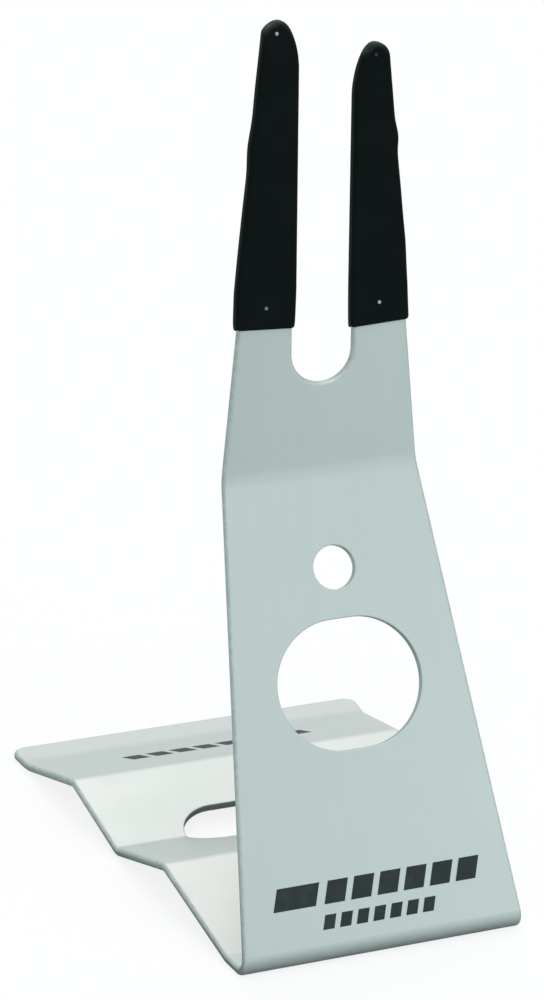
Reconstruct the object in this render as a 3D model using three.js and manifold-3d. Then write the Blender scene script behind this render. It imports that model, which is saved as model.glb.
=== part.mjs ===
// Bike display stand: one flat aluminium blank, cut and bent, with a sleeved fork that holds an axle.
// Units are millimetres. X is to the right seen from the front, Y goes back, Z is up, the floor is z = 0.

import * as THREE from 'three';
import { mergeVertices } from 'three/addons/utils/BufferGeometryUtils.js';
import Module from 'manifold-3d';

const wasm = await Module();
wasm.setup();

// The blank, a long trapezoid that widens evenly from the prong tips to the rear edge
const plateThickness = 6;
const edgeRadius = 1.5;
const neckHalfWidth = 68.7;
const flankTaperShare = 0.0985;
const rearCornerRadius = 10;

// The bends, from the top of the neck to the rear foot, as slopes of the flats and inside radii
const frontLean = THREE.MathUtils.degToRad(23.3);
const frontRise = THREE.MathUtils.degToRad(14.5);
const frontFall = THREE.MathUtils.degToRad(16.7);
const rearRise = THREE.MathUtils.degToRad(16.2);
const rearFall = THREE.MathUtils.degToRad(15.1);
const neckRadius = 27;
const heelRadius = 6;
const ridgeRadius = 8.5;

// The flats between the bends
const frontFlat = 303.3;
const frontFootFlat = 14.9;
const frontRiseFlat = 92.5;
const frontFallFlat = 73.5;
const rearRiseFlat = 70.5;
const rearFootFlat = 28.5;

// The slot for the axle, between the prongs
const slotWidth = 42.5;
const slotFloorAboveNeck = 55.5;

// The holes, with their places measured along the blank from the top of the neck bend
const smallHoleDiameter = 29.5;
const smallHoleFromNeck = 71.5;
const largeHoleWidth = 102.6;
const largeHoleHeight = 86.8;
const largeHoleFromNeck = 149;
const baseHoleWidth = 134;
const baseHoleLength = 54;
const baseHolePastValley = 1.8;
const holeRimRadius = 0.8;

// The prongs; the lead-in is the curve on the inside of a tip that guides the axle into the slot
const leftProngHeight = 296;
const leftLeadInHeight = 28;
const rightProngHeight = 279;
const rightLeadInHeight = 34;
const tipRadiusShare = 0.427;

// The soft sleeves over the prongs
const sleeveWall = 1.1;
const sleeveClearance = 0.3;
const sleeveMouthRadius = 3.6;
const sleeveEdgeRadius = 1.3;
const leftMouthHeight = 96.5;
const rightMouthHeight = 92.5;
const mouthTiltShare = 0.0485;

// The rivets that hold each sleeve to its prong
const rivetShankDiameter = 1.8;
const rivetHeadDiameter = 3.2;
const rivetHeadHeight = 0.9;
const rivetTailHeight = 0.5;
const rivetClearance = 0.3;
const tipRivetBelowTip = 9.5;
const mouthRivetAboveMouth = 12.5;

// One overrun for all cuts
const overrun = 4;

// How finely round shapes are drawn
const bendStepAngle = THREE.MathUtils.degToRad(4.3);
const fewestBendSteps = 2;
const cornerSteps = 12;
const rimSteps = 3;
const holeSteps = 28;
const curvePoints = 12;
const rivetCurvePoints = 6;
const rivetSegments = 20;
const drillSegments = 16;
const coincidence = 1e-4;

const halfThickness = plateThickness / 2;
const sleeveOffset = sleeveClearance + sleeveWall;
const prongs = [
  { side: 'left', sign: -1, height: leftProngHeight, leadIn: leftLeadInHeight, mouth: leftMouthHeight },
  { side: 'right', sign: 1, height: rightProngHeight, leadIn: rightLeadInHeight, mouth: rightMouthHeight },
];
const blankTop = -Math.max(leftProngHeight, rightProngHeight) - overrun;

// The slopes of the flats from the neck down the front, round the heel and back along the base
const down = -Math.PI / 2;
const headings = [down, down - frontLean, 0, frontRise, -frontFall, rearRise, -rearFall, 0];
const ridgeRadii = headings.slice(3).map(() => ridgeRadius);
const insideRadii = [neckRadius, heelRadius, ...ridgeRadii];

// How far a bend of the centreline climbs between two headings
function bendRise(from, to, insideRadius) {
  return Math.sign(from - to) * (insideRadius + halfThickness) * (Math.cos(to) - Math.cos(from));
}

// The last slope is as long as it takes to bring the rear foot down to the floor that the front foot lies on
function rearFallLength() {
  const flats = [frontRiseFlat, frontFallFlat, rearRiseFlat];
  let climbed = bendRise(0, frontRise, ridgeRadius);
  flats.forEach((length, index) => {
    climbed += length * Math.sin(headings[index + 3]);
    climbed += bendRise(headings[index + 3], headings[index + 4], ridgeRadius);
  });
  return (climbed + bendRise(-rearFall, 0, ridgeRadius)) / Math.sin(rearFall);
}

// The runs of the plate's centreline, a bend and a flat in turn
function layCentreline() {
  const frontFlats = [frontFlat, frontFootFlat, frontRiseFlat, frontFallFlat];
  const flats = [...frontFlats, rearRiseFlat, rearFallLength(), rearFootFlat];
  const runs = [];
  const cursor = { along: 0, y: 0, z: 0 };
  insideRadii.forEach((insideRadius, index) => {
    addBend(runs, cursor, headings[index], headings[index + 1], insideRadius);
    addFlat(runs, cursor, headings[index + 1], flats[index]);
  });
  return runs;
}

function addFlat(runs, cursor, heading, length) {
  runs.push({ start: cursor.along, length, heading, y: cursor.y, z: cursor.z, radius: 0, turn: 0 });
  cursor.y += length * Math.cos(heading);
  cursor.z += length * Math.sin(heading);
  cursor.along += length;
}

function addBend(runs, cursor, from, to, insideRadius) {
  const turn = Math.sign(to - from);
  const radius = insideRadius + halfThickness;
  const length = radius * Math.abs(to - from);
  runs.push({ start: cursor.along, length, heading: from, y: cursor.y, z: cursor.z, radius, turn });
  cursor.y += turn * radius * (Math.sin(to) - Math.sin(from));
  cursor.z += bendRise(from, to, insideRadius);
  cursor.along += length;
}

const centreline = layCentreline();
const blankEnd = centreline.at(-1).start + centreline.at(-1).length;
const heel = centreline[2];
const heelCentreZ = heel.z + heel.radius * Math.cos(heel.heading);
const neckTopZ = halfThickness + heel.radius - heelCentreZ;
const valley = centreline[8];
const valleyMiddle = valley.start + valley.length / 2;

// The point of the centreline at a distance along the blank, with the plate's heading there
function centreAt(along) {
  const run = centreline.findLast((piece) => piece.start <= along) ?? centreline[0];
  const past = along - run.start;
  if (along < 0 || run.turn === 0) {
    return {
      y: run.y + past * Math.cos(run.heading),
      z: neckTopZ + run.z + past * Math.sin(run.heading),
      heading: run.heading,
    };
  }
  const heading = run.heading + (run.turn * past) / run.radius;
  return {
    y: run.y + run.turn * run.radius * (Math.sin(heading) - Math.sin(run.heading)),
    z: neckTopZ + run.z - run.turn * run.radius * (Math.cos(heading) - Math.cos(run.heading)),
    heading,
  };
}

// A point of the flat blank, taken to its place on the bent plate; lift goes from its front face to its back
function bend(across, along, lift) {
  const { y, z, heading } = centreAt(along);
  return [across, y - lift * Math.sin(heading), z + lift * Math.cos(heading)];
}

function halfWidthAt(along) {
  return neckHalfWidth + flankTaperShare * along;
}

// Places along the blank where its faces need points, so that every bend is drawn round
function bendStations(from, to) {
  const stations = [from];
  for (const run of centreline) {
    const steps = run.turn === 0 ? 1 : Math.round(run.length / run.radius / bendStepAngle);
    const drawn = Math.max(run.turn === 0 ? 1 : fewestBendSteps, steps);
    for (let step = 0; step < drawn; step += 1) {
      const along = run.start + (run.length * step) / drawn;
      if (along > from && along < to) stations.push(along);
    }
  }
  return stations;
}

// A closed loop on the blank, symmetric across it: down one side and back up the other
function mirrorLoop(side) {
  const otherSide = side.map(([across, along]) => [-across, along]).reverse();
  return [...side, ...otherSide];
}

// The loop moved inwards by a distance, corner by corner
function insetLoop(loop, distance) {
  return loop.map((point, index) => {
    const before = loop.at(index - 1);
    const after = loop[(index + 1) % loop.length];
    const inNormal = unitNormal(before, point);
    const outNormal = unitNormal(point, after);
    const share = 1 + inNormal[0] * outNormal[0] + inNormal[1] * outNormal[1];
    return [
      point[0] - (distance * (inNormal[0] + outNormal[0])) / share,
      point[1] - (distance * (inNormal[1] + outNormal[1])) / share,
    ];
  });
}

function unitNormal(from, to) {
  const length = Math.hypot(to[0] - from[0], to[1] - from[1]);
  return [(to[1] - from[1]) / length, -(to[0] - from[0]) / length];
}

// A bent solid: the loop at each ring's inset and lift makes the walls, and rungs across it make the faces
function bentSolid(loop, rings) {
  const positions = [];
  for (const ring of rings) {
    for (const [across, along] of insetLoop(loop, ring.inset)) {
      positions.push(...bend(across, along, ring.lift));
    }
  }
  const count = loop.length;
  const indices = [];
  for (let ring = 0; ring < rings.length - 1; ring += 1) {
    for (let here = 0; here < count; here += 1) {
      const next = (here + 1) % count;
      const [a, b] = [ring * count + here, ring * count + next];
      const [c, d] = [a + count, b + count];
      indices.push(a, b, c, b, d, c);
    }
  }
  const top = (rings.length - 1) * count;
  for (let rung = 0; rung < count / 2 - 1; rung += 1) {
    const [a, b] = [rung, rung + 1];
    const [c, d] = [count - 1 - rung, count - 2 - rung];
    indices.push(a, c, b, b, c, d);
    indices.push(top + a, top + b, top + c, top + b, top + d, top + c);
  }
  const geometry = new THREE.BufferGeometry();
  geometry.setAttribute('position', new THREE.Float32BufferAttribute(positions, 3));
  geometry.setIndex(indices);
  return geometry;
}

// Rings that round both edges of the plate
function edgeRings(radius) {
  const rings = [];
  for (let step = 0; step <= rimSteps; step += 1) {
    const angle = (step / rimSteps) * (Math.PI / 2);
    const drop = radius * (1 - Math.cos(angle));
    rings.push({ inset: radius * (1 - Math.sin(angle)), lift: drop - halfThickness });
  }
  return [...rings, ...rings.map(({ inset, lift }) => ({ inset, lift: -lift })).reverse()];
}

// Rings of a cutter that leaves a rounded rim on both faces
function cutterRings(rim) {
  const rings = edgeRings(rim).map(({ inset, lift }) => ({ inset: -inset, lift }));
  const below = { inset: -rim, lift: -halfThickness - overrun };
  const above = { inset: -rim, lift: halfThickness + overrun };
  return [below, ...rings, above];
}

function solid(geometry) {
  const bare = geometry.clone();
  bare.deleteAttribute('normal');
  bare.deleteAttribute('uv');
  const merged = mergeVertices(bare, coincidence);
  return new wasm.Manifold(new wasm.Mesh({
    numProp: 3,
    vertProperties: new Float32Array(merged.attributes.position.array),
    triVerts: new Uint32Array(merged.index.array),
  }));
}

function geometryOf(manifold) {
  const mesh = manifold.getMesh();
  const geometry = new THREE.BufferGeometry();
  geometry.setAttribute('position', new THREE.BufferAttribute(mesh.vertProperties, 3));
  geometry.setIndex(new THREE.BufferAttribute(mesh.triVerts, 1));
  geometry.computeVertexNormals();
  return geometry;
}

// The blank's outline from above the prongs to the rear edge, with its rounded rear corners
function blankSide() {
  const flankAngle = Math.atan(flankTaperShare);
  const cornerAlong = blankEnd - rearCornerRadius;
  const cornerAcross = halfWidthAt(cornerAlong) - rearCornerRadius / Math.cos(flankAngle);
  const flankEnd = cornerAlong - rearCornerRadius * Math.sin(flankAngle);
  const side = bendStations(blankTop, flankEnd).map((along) => [halfWidthAt(along), along]);
  for (let step = 0; step <= cornerSteps; step += 1) {
    const angle = -flankAngle + (step / cornerSteps) * (Math.PI / 2 + flankAngle);
    side.push([
      cornerAcross + rearCornerRadius * Math.cos(angle),
      cornerAlong + rearCornerRadius * Math.sin(angle),
    ]);
  }
  return side;
}

// One side of a hole with round ends across the blank; it is a circle where the width equals the length
function holeSide(width, length, middle) {
  const radius = length / 2;
  const straight = (width - length) / 2;
  const side = [];
  for (let step = 0; step < holeSteps; step += 1) {
    const angle = ((step + 0.5) / holeSteps) * Math.PI;
    side.push([straight + radius * Math.sin(angle), middle - radius * Math.cos(angle)]);
  }
  return side;
}

// One side of the slot, from above the prongs down to its round floor
function slotSide() {
  const radius = slotWidth / 2;
  const middle = -slotFloorAboveNeck - radius;
  const side = [[radius, blankTop - overrun]];
  for (let step = 0; step < holeSteps; step += 1) {
    const angle = Math.PI / 2 + ((step + 0.5) / holeSteps) * (Math.PI / 2);
    side.push([radius * Math.sin(angle), middle - radius * Math.cos(angle)]);
  }
  return side;
}

// The outline of a prong grown by an offset, in X and Z, as if the prong were the right one
function prongOutline(prong, offset, mouthHeight, mouthRadius) {
  const inner = slotWidth / 2 - offset;
  const flankAngle = Math.atan(flankTaperShare);
  const tip = neckTopZ + prong.height + offset;
  const tipWidth = halfWidthAt(-prong.height) - slotWidth / 2;
  const outerRadius = tipWidth * tipRadiusShare + offset;
  const outerZ = tip - outerRadius;
  const flankX = (z) => halfWidthAt(neckTopZ - z) + offset / Math.cos(flankAngle);
  const apexX = flankX(outerZ) - outerRadius / Math.cos(flankAngle);
  const leadIn = prong.leadIn + offset;
  const middleX = (inner + flankX(mouthHeight)) / 2;
  const mouthZ = (x) => mouthHeight + (x - middleX) * mouthTiltShare;
  const outer = flankX(mouthHeight);
  const shape = new THREE.Shape();
  shape.moveTo(inner + mouthRadius, mouthZ(inner + mouthRadius));
  shape.quadraticCurveTo(inner, mouthZ(inner), inner, mouthZ(inner) + mouthRadius);
  shape.lineTo(inner, tip - leadIn);
  shape.absellipse(apexX, tip - leadIn, apexX - inner, leadIn, Math.PI, Math.PI / 2, true);
  shape.absarc(apexX, outerZ, outerRadius, Math.PI / 2, flankAngle, true);
  shape.lineTo(flankX(mouthZ(outer) + mouthRadius), mouthZ(outer) + mouthRadius);
  shape.quadraticCurveTo(outer, mouthZ(outer), outer - mouthRadius, mouthZ(outer - mouthRadius));
  return { shape: withoutRepeats(shape), apexX, middleX, tip };
}

// The shape with one point where two of its curves meet
function withoutRepeats(shape) {
  const points = shape.getPoints(curvePoints);
  const isNew = (point, index) => point.distanceTo(points.at(index - 1)) > coincidence;
  return new THREE.Shape(points.filter(isNew));
}

// A prong outline extruded through the plate's thickness, grown by an offset on both faces
function prongSolid(prong, offset, mouthHeight, mouthRadius, roundedEdge) {
  const { shape } = prongOutline(prong, offset, mouthHeight, mouthRadius);
  const thickness = plateThickness + 2 * offset;
  const geometry = new THREE.ExtrudeGeometry(shape, {
    depth: thickness - 2 * roundedEdge,
    bevelEnabled: roundedEdge > 0,
    bevelSize: roundedEdge,
    bevelThickness: roundedEdge,
    bevelOffset: -roundedEdge,
    bevelSegments: rimSteps,
  });
  geometry.translate(0, 0, -thickness / 2 + roundedEdge);
  geometry.rotateX(Math.PI / 2);
  return mirrored(solid(geometry), prong.sign);
}

// The left prong's shapes are the right one's, mirrored across the middle of the stand
function mirrored(manifold, sign) {
  return sign > 0 ? manifold : manifold.mirror([1, 0, 0]);
}

// What is cut away from the blank above a prong, so that only its rounded tip is left
function tipTrim(prong) {
  const bottom = neckTopZ + prong.height - prong.leadIn - overrun;
  const top = neckTopZ - blankTop + overrun;
  const width = neckHalfWidth + overrun;
  const depth = plateThickness + 2 * overrun;
  const block = new THREE.BoxGeometry(width, depth, top - bottom);
  block.translate(width / 2, 0, (top + bottom) / 2);
  const { shape } = prongOutline(prong, 0, neckTopZ + prong.mouth, 0);
  const kept = new THREE.ExtrudeGeometry(shape, { depth: depth + 2 * overrun, bevelEnabled: false });
  kept.translate(0, 0, -depth / 2 - overrun);
  kept.rotateX(Math.PI / 2);
  return mirrored(solid(block).subtract(solid(kept)), prong.sign);
}

// The places of a prong's two rivets, one near the tip and one near the sleeve's mouth
function rivetPlaces(prong) {
  const mouthHeight = neckTopZ + prong.mouth;
  const { apexX, middleX, tip } = prongOutline(prong, 0, mouthHeight, 0);
  return [
    { name: `${prong.side}_tip_rivet`, x: prong.sign * apexX, z: tip - tipRivetBelowTip },
    { name: `${prong.side}_mouth_rivet`, x: prong.sign * middleX, z: mouthHeight + mouthRivetAboveMouth },
  ];
}

// A drill through the prong and both walls of its sleeve
function rivetDrill(place) {
  const length = plateThickness + 2 * sleeveOffset + 2 * overrun;
  const radius = rivetShankDiameter / 2 + rivetClearance;
  const geometry = new THREE.CylinderGeometry(radius, radius, length, drillSegments);
  geometry.translate(place.x, 0, place.z);
  return solid(geometry);
}

function buildPlate() {
  let plate = solid(bentSolid(mirrorLoop(blankSide()), edgeRings(edgeRadius)));
  const cuts = [
    slotSide(),
    holeSide(smallHoleDiameter, smallHoleDiameter, smallHoleFromNeck),
    holeSide(largeHoleWidth, largeHoleHeight, largeHoleFromNeck),
    holeSide(baseHoleWidth, baseHoleLength, valleyMiddle + baseHolePastValley),
  ];
  for (const side of cuts) {
    plate = plate.subtract(solid(bentSolid(mirrorLoop(side), cutterRings(holeRimRadius))));
  }
  for (const prong of prongs) {
    plate = plate.subtract(tipTrim(prong));
    for (const place of rivetPlaces(prong)) plate = plate.subtract(rivetDrill(place));
  }
  return geometryOf(plate);
}

// A soft sleeve: the prong's outline grown by clearance and wall, hollow, and open at its mouth
function buildSleeve(prong) {
  const mouthHeight = neckTopZ + prong.mouth;
  const outside = prongSolid(prong, sleeveOffset, mouthHeight, sleeveMouthRadius, sleeveEdgeRadius);
  const hollow = prongSolid(prong, sleeveClearance, mouthHeight - overrun, 0, 0);
  let sleeve = outside.subtract(hollow);
  for (const place of rivetPlaces(prong)) sleeve = sleeve.subtract(rivetDrill(place));
  return geometryOf(sleeve);
}

// A rivet turned about its own axis, with a domed head in front and a flat tail behind
function buildRivet() {
  const shank = rivetShankDiameter / 2;
  const head = rivetHeadDiameter / 2;
  const seat = halfThickness + sleeveOffset + rivetClearance;
  const profile = new THREE.Path();
  profile.moveTo(0, -seat - rivetTailHeight);
  profile.lineTo(head, -seat - rivetTailHeight);
  profile.lineTo(head, -seat);
  profile.lineTo(shank, -seat);
  profile.lineTo(shank, seat);
  profile.lineTo(head, seat);
  profile.quadraticCurveTo(head, seat + rivetHeadHeight, 0, seat + rivetHeadHeight);
  return new THREE.LatheGeometry(profile.getPoints(rivetCurvePoints), rivetSegments);
}

const materials = {
  plate: { color: 0xb7c9c7, roughness: 0.42, metalness: 0.55 },
  sleeve: { color: 0x141a1a, roughness: 0.5, metalness: 0 },
  rivet: { color: 0xc8cccb, roughness: 0.3, metalness: 1 },
};

function addMesh(parent, name, geometry, finish) {
  const mesh = new THREE.Mesh(geometry, new THREE.MeshStandardMaterial(finish));
  mesh.name = name;
  parent.add(mesh);
  return mesh;
}

function buildStand() {
  const stand = new THREE.Group();
  addMesh(stand, 'stand_plate', buildPlate(), materials.plate);
  for (const prong of prongs) {
    addMesh(stand, `${prong.side}_sleeve`, buildSleeve(prong), materials.sleeve);
    for (const place of rivetPlaces(prong)) {
      const rivet = addMesh(stand, place.name, buildRivet(), materials.rivet);
      rivet.rotation.x = Math.PI;
      rivet.position.set(place.x, 0, place.z);
    }
  }
  stand.updateMatrixWorld(true);
  const middle = new THREE.Box3().setFromObject(stand).getCenter(new THREE.Vector3());
  stand.position.y = -middle.y;
  return stand;
}

export default buildStand();
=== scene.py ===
# %% [markdown]
# # A bike display stand, dressed for its picture
#
# The stand is one flat aluminium blank that was cut out, bent on seven lines and given two soft
# black sleeves. The frame that the next cell loads has every piece at its true size and place.
# Each piece is then remade here with the fine edges, bends and finishes that the eye looks for,
# and rides on the frame's one body.

# %% Load the frame
import math
from collections import namedtuple

import bmesh
import bpy
import numpy as np
from mathutils import Matrix, Vector, geometry, noise


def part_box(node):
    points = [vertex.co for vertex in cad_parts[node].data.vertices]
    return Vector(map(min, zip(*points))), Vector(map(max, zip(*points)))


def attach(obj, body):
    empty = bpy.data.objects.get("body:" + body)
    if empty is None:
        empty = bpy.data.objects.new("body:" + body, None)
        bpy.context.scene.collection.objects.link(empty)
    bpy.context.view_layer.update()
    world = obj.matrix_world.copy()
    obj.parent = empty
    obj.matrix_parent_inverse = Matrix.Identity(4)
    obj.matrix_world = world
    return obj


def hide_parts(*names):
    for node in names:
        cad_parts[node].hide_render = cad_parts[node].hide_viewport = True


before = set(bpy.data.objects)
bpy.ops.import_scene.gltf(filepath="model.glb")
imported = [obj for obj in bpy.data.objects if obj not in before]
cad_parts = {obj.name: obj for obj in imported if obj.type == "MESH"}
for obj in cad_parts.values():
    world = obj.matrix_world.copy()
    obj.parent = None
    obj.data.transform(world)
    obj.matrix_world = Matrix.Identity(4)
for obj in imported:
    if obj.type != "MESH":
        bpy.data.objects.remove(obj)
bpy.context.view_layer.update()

MM = 0.001

# %% [markdown]
# ## Where the camera stands
#
# The camera comes first, because every number later fitted to the photo depends on it. The place
# and the angles below come from fitting the stand's own edges to the photo. They are set with a
# rotation matrix: turn to the side, tip down, then roll by the half degree that the photo is off
# level.

# %% Place the camera
CAMERA_PLACE = Vector((-0.77172, -1.92410, 1.02365))
TURN, TIP, ROLL = (math.radians(angle) for angle in (21.6397, 20.9083, 0.5325))


def add_object(name, data):
    """Puts a camera, a lamp or a mesh into the scene."""
    made = bpy.data.objects.new(name, data)
    bpy.context.scene.collection.objects.link(made)
    return made


camera = add_object("photo camera", bpy.data.cameras.new("photo camera"))
for name, value in {"sensor_fit": "VERTICAL", "sensor_height": 36, "lens": 115.96,
                    "shift_x": 0.0027, "shift_y": 0.0312, "clip_end": 60}.items():
    setattr(camera.data, name, value)
tipped = Matrix.Rotation(math.pi / 2 - TIP, 4, "X")
aim = Matrix.Rotation(-TURN, 4, "Z") @ tipped @ Matrix.Rotation(ROLL, 4, "Z")
camera.matrix_world = Matrix.Translation(CAMERA_PLACE) @ aim
bpy.context.scene.camera = camera
print("camera is", round(camera.location.length, 2), "m from the stand")

# %% [markdown]
# ## The light and the white background
#
# The photo has no visible room: soft light from above and in front, and white all round. A world
# that is white only for what the camera sees or metal mirrors, and greyer for the light that it
# sheds, gives that white without washing the metal out. Two broad suns shape the plate: a cool
# one from the front and a warmer one from behind, which is why the slopes of the base look warmer
# than the front. Their wide angle keeps the shadow soft. A weak panel on the right gives the
# lower front its slow change from left to right. Area lamps all round would look much the same
# but are harder to set apart, as their light falls off with distance. Each strength was found by
# rendering the lamps one at a time and solving for the sum that comes closest to the photo.

# %% Helpers for node trees
def connect(tree, socket, value):
    """Gives an input a plain value, or links it to the output of another node."""
    if isinstance(value, bpy.types.NodeSocket):
        tree.links.new(value, socket)
    else:
        socket.default_value = value


def add_node(tree, kind, **settings):
    """A node with its properties and inputs, where From_Min stands for the input From Min."""
    node = tree.nodes.new(kind)
    for name, value in settings.items():
        label = name.replace("_", " ")
        if label in node.inputs:
            connect(tree, node.inputs[label], value)
        else:
            setattr(node, name, value)
    return node


def add_maths(tree, operation, *values):
    """The output of a Math node; values are plain numbers or the outputs of other nodes."""
    node = add_node(tree, "ShaderNodeMath", operation=operation)
    for socket, value in zip(node.inputs, values):
        connect(tree, socket, value)
    return node.outputs[0]


def blend_colours(tree, factor, first, second):
    """A colour between two; each is three plain numbers or the output of another node."""
    first, second = ((*colour, 1) if isinstance(colour, tuple) else colour
                     for colour in (first, second))
    mix = add_node(tree, "ShaderNodeMix", data_type="RGBA", Factor=factor, A=first, B=second)
    return mix.outputs["Result"]


def looks(tree):
    """Two outputs: 1 where the camera looks, and 1 where a mirror or glass does."""
    path = tree.nodes.new("ShaderNodeLightPath").outputs
    mirrored = add_maths(tree, "MAXIMUM", path["Is Glossy Ray"], path["Is Transmission Ray"])
    return path["Is Camera Ray"], mirrored


print("helpers ready")

# %% Set the world
WORLD_LIGHT = (0.44, 0.53, 0.535)
WHITE = (1, 1, 1)
world = bpy.data.worlds.new("white studio")
bpy.context.scene.world = world
world.use_nodes = True
sky = world.node_tree
seen = add_maths(sky, "MAXIMUM", *looks(sky))
wall = blend_colours(sky, seen, WORLD_LIGHT, WHITE)
sky.links.new(wall, sky.nodes["Background"].inputs["Color"])
bpy.context.scene.view_settings.view_transform = "Standard"
print("world light on surfaces:", WORLD_LIGHT)

# %% Set the lamps
PANEL_PLACE = Vector((0.75, -0.95, 0.2))
PANEL_TARGET = Vector((0, -0.12, 0.15))


def add_lamp(name, kind, strength, colour):
    """A lamp of one kind with its strength and colour."""
    lamp = bpy.data.lights.new(name, kind)
    lamp.energy = strength
    lamp.color = colour
    return add_object(name, lamp)


def add_sun(name, strength, colour, azimuth, height, spread):
    """A broad sun: azimuth 0 is in front, 90 on the right, and height is over the floor."""
    sun = add_lamp(name, "SUN", strength, colour)
    sun.data.angle = math.radians(spread)
    sun.rotation_euler = (math.radians(90 - height), 0, math.radians(azimuth))


add_sun("key softbox", 1.08, (0.97, 0.997, 1.0), azimuth=0, height=60, spread=60)
add_sun("back softbox", 0.80, (1.0, 0.80, 0.755), azimuth=155, height=56, spread=36)
panel = add_lamp("right panel", "AREA", 1.2, (0.79, 1.0, 0.96))
panel.data.size = 0.6
panel.location = PANEL_PLACE
panel.rotation_euler = (PANEL_TARGET - PANEL_PLACE).to_track_quat("-Z", "Y").to_euler()
print("panel is", round(PANEL_PLACE.length, 2), "m from the stand")

# %% [markdown]
# ## The floor
#
# The floor is pale paper. Most of what the camera sees of it is its own white, as if lit from
# below, and the rest is plain lit paint, so a faint shadow stays. More light on the stand would
# whiten the floor as well, but it would also burn out the metal. Metal mirrors the floor too, and
# close under the stand there is no light to mirror. So a painted shadow darkens the floor there,
# for mirrors only, which draws the thin dark line below the heel.

# %% Lay the floor
FLOOR_REACH = 14
FLOOR_DROP = 0.0003


def make_object(name, bm, smooth=False):
    """Turns a bmesh into an object in the scene."""
    mesh = bpy.data.meshes.new(name)
    bm.to_mesh(mesh)
    bm.free()
    mesh.polygons.foreach_set("use_smooth", [smooth] * len(mesh.polygons))
    return add_object(name, mesh)


bm = bmesh.new()
bmesh.ops.create_grid(bm, x_segments=8, y_segments=8, size=FLOOR_REACH)
floor = make_object("floor", bm)
floor.location.z = -FLOOR_DROP
print("floor laid, reaching", FLOOR_REACH, "m to each side")

# %% Paint the floor
FLOOR_PAINT = (0.18, 0.18, 0.18)
FLOOR_GLOW = 0.85
# A painted shadow under the stand, seen only by mirrors: half width, half depth and fade, in
# metres.
SHADED_HALF_WIDTH = 0.125
SHADED_HALF_DEPTH = 0.18
SHADED_FADE = 0.035
floor_paint = bpy.data.materials.new("floor paint")
floor_paint.use_nodes = True
tree = floor_paint.node_tree
tree.nodes.clear()
place = add_node(tree, "ShaderNodeTexCoord").outputs["Object"]
spot = add_node(tree, "ShaderNodeSeparateXYZ", Vector=place)
past_side, past_end = (
    add_maths(tree, "SUBTRACT", add_maths(tree, "ABSOLUTE", spot.outputs[axis]), reach)
    for axis, reach in (("X", SHADED_HALF_WIDTH), ("Y", SHADED_HALF_DEPTH)))
open_floor = add_node(tree, "ShaderNodeMapRange", From_Max=SHADED_FADE,
                      Value=add_maths(tree, "MAXIMUM", past_side, past_end))
camera_looks, mirror_looks = looks(tree)
# Mirrors see the floor painted dark under the stand, as painted shadow.
mirrored = add_maths(tree, "MULTIPLY", mirror_looks, open_floor.outputs["Result"])
seen = add_maths(tree, "MAXIMUM", camera_looks, mirrored)
paint = add_node(tree, "ShaderNodeBsdfDiffuse",
                 Color=blend_colours(tree, seen, FLOOR_PAINT, WHITE))
glow = add_node(tree, "ShaderNodeEmission", Color=(*WHITE, 1), Strength=1.0)
both = add_node(tree, "ShaderNodeMixShader")
tree.links.new(add_maths(tree, "MULTIPLY", camera_looks, FLOOR_GLOW), both.inputs[0])
tree.links.new(paint.outputs[0], both.inputs[1])
tree.links.new(glow.outputs[0], both.inputs[2])
add_node(tree, "ShaderNodeOutputMaterial", Surface=both.outputs[0])
floor.data.materials.append(floor_paint)
print("floor glows by", FLOOR_GLOW, "for the camera")

# %% [markdown]
# ## The blank and its bends
#
# A bent part like this starts as a flat blank, so it is drawn that way here too. A place on the
# blank has two numbers, how far across and how far along it lies, and one function carries it to
# the bent plate. Holes, print and metal grain then follow the bends by themselves. Drawing the
# finished shape directly would be quicker to read but would stretch every hole that meets a bend.
#
# The last bend is gentle, with a wide radius, because in the photo the rear foot leaves its slope
# without a crease.

# %% Follow the centreline through its bends
THICKNESS = 6.0
HALF = THICKNESS / 2
DOWN = -90.0
HEADINGS = [math.radians(angle) for angle in (DOWN, DOWN - 23.3, 0, 14.5, -16.7, 16.2, -15.1, 0)]
INSIDE_RADII = [27, 6, 8.5, 8.5, 8.5, 8.5, 60]
FLATS = [303.3, 14.9, 92.5, 73.5, 70.5, None, 21.6]
FRONT_FOOT, VALLEY, REAR_SLOPE = 3, 8, 11
TRIAL_SLOPE = 0.001
Run = namedtuple("Run", "start length y z heading radius side")


def lay_runs(last_slope):
    """Every bend and flat of the centreline in turn, how long it is, and the height it ends at."""
    runs = []
    along = y = z = 0.0
    for index, inside in enumerate(INSIDE_RADII):
        before, after = HEADINGS[index], HEADINGS[index + 1]
        side = math.copysign(1, after - before)
        radius = inside + HALF
        runs.append(Run(along, radius * abs(after - before), y, z, before, radius, side))
        along += radius * abs(after - before)
        y += side * radius * (math.sin(after) - math.sin(before))
        z -= side * radius * (math.cos(after) - math.cos(before))
        length = FLATS[index] or last_slope
        runs.append(Run(along, length, y, z, after, 0, 0))
        along += length
        y += length * math.cos(after)
        z += length * math.sin(after)
    return runs, along, z


first_try, _, rear_foot_z = lay_runs(TRIAL_SLOPE)
missing = rear_foot_z - first_try[FRONT_FOOT].z
LAST_SLOPE = TRIAL_SLOPE + missing / math.sin(-HEADINGS[-2])
RUNS, BLANK_END, _ = lay_runs(LAST_SLOPE)
print("last slope", round(LAST_SLOPE, 2), "mm, blank ends at", round(BLANK_END, 2), "mm")

# %% Carry a place on the blank to the bent plate
SOLID_PRONG_REACH = 296
STARTS = np.array([run.start for run in RUNS])
TOP_Z = (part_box("stand_plate")[1].z / MM) - SOLID_PRONG_REACH


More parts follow.
